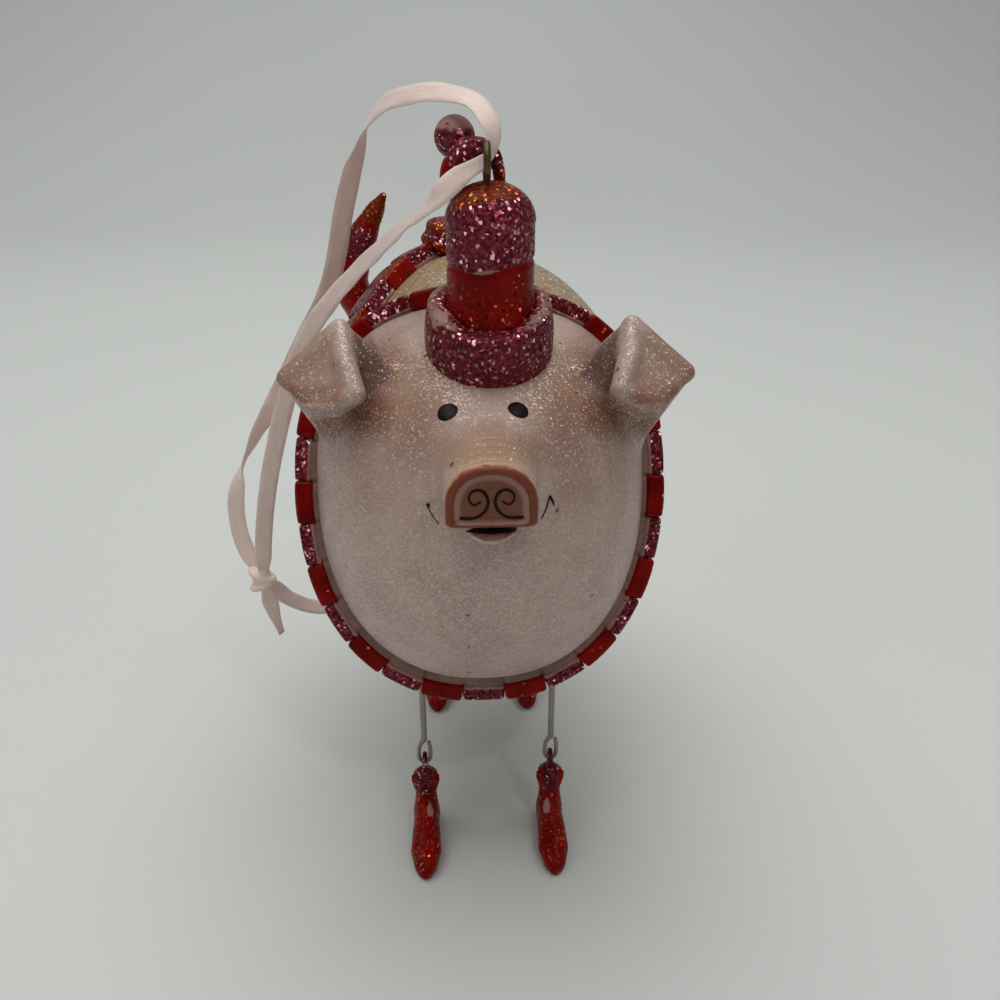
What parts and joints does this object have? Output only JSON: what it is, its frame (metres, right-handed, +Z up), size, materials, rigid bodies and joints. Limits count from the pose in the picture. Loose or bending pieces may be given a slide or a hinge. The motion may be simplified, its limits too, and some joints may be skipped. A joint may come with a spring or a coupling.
{
  "type": "pig ornament",
  "caption": "Pig ornament to stand or hang: hollow cast body, block collar, folded ears, tall striped hat, curled tail, swinging wire legs with boots, and a slack ribbon loop.",
  "frame": {"origin": "on the table under the middle of the pig's box, ribbon not counted", "axes": "+Z up, the pig faces -Y, its own left side is +X"},
  "size_m": [0.074, 0.1, 0.1178],
  "materials": {
    "pearl_resin": "pearl paint on cast resin, airbrushed orange-brown at the ears and brow",
    "snout_resin": "airbrushed brown and orange on cast resin",
    "back_resin": "brushed tan paint on cast resin",
    "band_paint": "red lacquer and magenta glitter in turn on cast resin",
    "hat_paint": "magenta glitter and red lacquer in bands on cast resin",
    "boot_paint": "red lacquer with gold glitter on cast resin",
    "leg_wire": "bare wire",
    "bronze_wire": "dark antique bronze",
    "ribbon": "narrow pale pink satin"
  },
  "bodies": {
    "pig_body": {"face_shell": "pearl_resin", "ear_left": "pearl_resin", "ear_right": "pearl_resin", "snout": "snout_resin", "rump_shell": "back_resin", "collar": "band_paint", "back_band": "band_paint", "band_knot": "band_paint", "tail": "band_paint", "hat_cuff": "hat_paint", "hat_crown": "hat_paint", "hat_curl": "hat_paint", "hat_ball": "hat_paint", "hanger_eye": "bronze_wire", "belly_eye_front_left": "leg_wire", "belly_eye_front_right": "leg_wire", "belly_eye_rear_left": "leg_wire", "belly_eye_rear_right": "leg_wire", "ribbon_front_strand": "ribbon", "ribbon_arch_strand": "ribbon", "ribbon_knot": "ribbon", "ribbon_short_end": "ribbon", "ribbon_long_end": "ribbon"},
    "leg_front_left": {"leg_wire_front_left": "leg_wire"},
    "foot_front_left": {"boot_front_left": "boot_paint", "boot_eye_front_left": "leg_wire"},
    "leg_front_right": {"leg_wire_front_right": "leg_wire"},
    "foot_front_right": {"boot_front_right": "boot_paint", "boot_eye_front_right": "leg_wire"},
    "leg_rear_left": {"leg_wire_rear_left": "leg_wire"},
    "foot_rear_left": {"boot_rear_left": "boot_paint", "boot_eye_rear_left": "leg_wire"},
    "leg_rear_right": {"leg_wire_rear_right": "leg_wire"},
    "foot_rear_right": {"boot_rear_right": "boot_paint", "boot_eye_rear_right": "leg_wire"}
  },
  "joints": [
    {"name": "hip_front_left", "type": "hinge", "parent": "pig_body", "child": "leg_front_left", "pos_m": [0.0104, -0.0186, 0.03064], "axis": [1, 0, 0], "range_deg": [-35, 20]},
    {"name": "ankle_front_left", "type": "hinge", "parent": "leg_front_left", "child": "foot_front_left", "pos_m": [0.0104, -0.0186, 0.0135], "axis": [1, 0, 0], "range_deg": [-25, 25]},
    {"name": "hip_front_right", "type": "hinge", "parent": "pig_body", "child": "leg_front_right", "pos_m": [-0.0104, -0.0186, 0.03064], "axis": [1, 0, 0], "range_deg": [-35, 20]},
    {"name": "ankle_front_right", "type": "hinge", "parent": "leg_front_right", "child": "foot_front_right", "pos_m": [-0.0104, -0.0186, 0.0135], "axis": [1, 0, 0], "range_deg": [-25, 25]},
    {"name": "hip_rear_left", "type": "hinge", "parent": "pig_body", "child": "leg_rear_left", "pos_m": [0.009, 0.0251, 0.02887], "axis": [1, 0, 0], "range_deg": [-20, 35]},
    {"name": "ankle_rear_left", "type": "hinge", "parent": "leg_rear_left", "child": "foot_rear_left", "pos_m": [0.009, 0.0251, 0.0135], "axis": [1, 0, 0], "range_deg": [-25, 25]},
    {"name": "hip_rear_right", "type": "hinge", "parent": "pig_body", "child": "leg_rear_right", "pos_m": [-0.009, 0.0251, 0.02887], "axis": [1, 0, 0], "range_deg": [-20, 35]},
    {"name": "ankle_rear_right", "type": "hinge", "parent": "leg_rear_right", "child": "foot_rear_right", "pos_m": [-0.009, 0.0251, 0.0135], "axis": [1, 0, 0], "range_deg": [-25, 25]}
  ]
}
